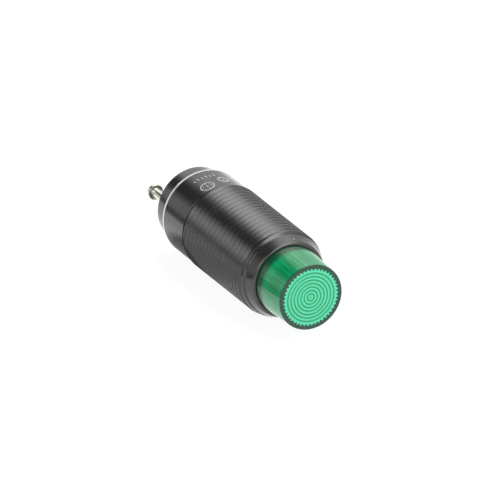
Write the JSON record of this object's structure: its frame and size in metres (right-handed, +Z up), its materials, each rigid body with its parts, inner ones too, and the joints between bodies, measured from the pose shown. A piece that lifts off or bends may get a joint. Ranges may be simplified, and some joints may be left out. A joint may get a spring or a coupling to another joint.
{
  "type": "panel pilot light",
  "caption": "Panel pilot light with a threaded black housing, a fluted green lens with rings on its face, and turret terminals behind.",
  "frame": {"origin": "on the light's axis, at the middle of the panel thread", "axes": "-Y out through the lens along the axis, +Z up, +X to the right seen from the front; the two terminals lie along X"},
  "size_m": [0.0188, 0.0619, 0.0188],
  "materials": {
    "housing_plastic": "moulded black, satin gloss",
    "lens_green": "polished clear green",
    "gasket_rubber": "matt",
    "cup_white": "moulded white",
    "diffuser_white": "milky",
    "led_epoxy": "tinted clear epoxy",
    "tinned_lead": "tinned",
    "board_laminate": "solder mask over glass laminate",
    "pin_brass": "drawn and tinned",
    "sleeve_plastic": "amber film",
    "resistor_ceramic": "lacquered",
    "diode_epoxy": "moulded epoxy",
    "solder": "bright solder",
    "wire_insulation": "extruded",
    "wire_copper": "bare copper",
    "cap_plastic": "moulded black, satin",
    "epoxy": "cast",
    "terminal_tin": "turned brass under bright tin"
  },
  "bodies": {
    "root": {"housing": "housing_plastic", "lens": "lens_green", "lens_gasket": "gasket_rubber", "lamp_cup": "cup_white", "diffuser": "diffuser_white", "led_1": "led_epoxy", "led_2": "led_epoxy", "led_3": "led_epoxy", "led_4": "led_epoxy", "led_leads": "tinned_lead", "lamp_board": "board_laminate", "board_pins": "pin_brass", "driver_board": "board_laminate", "insulating_sleeve": "sleeve_plastic", "resistor_left": "resistor_ceramic", "resistor_right": "resistor_ceramic", "resistor_leads": "tinned_lead", "rectifier_diode": "diode_epoxy", "diode_leads": "tinned_lead", "solder_joints": "solder", "wire_left": "wire_insulation", "wire_right": "wire_insulation", "wire_cores": "wire_copper", "rear_cap": "cap_plastic", "epoxy_seal": "epoxy", "terminal_left": "terminal_tin", "terminal_right": "terminal_tin"}
  },
  "joints": []
}
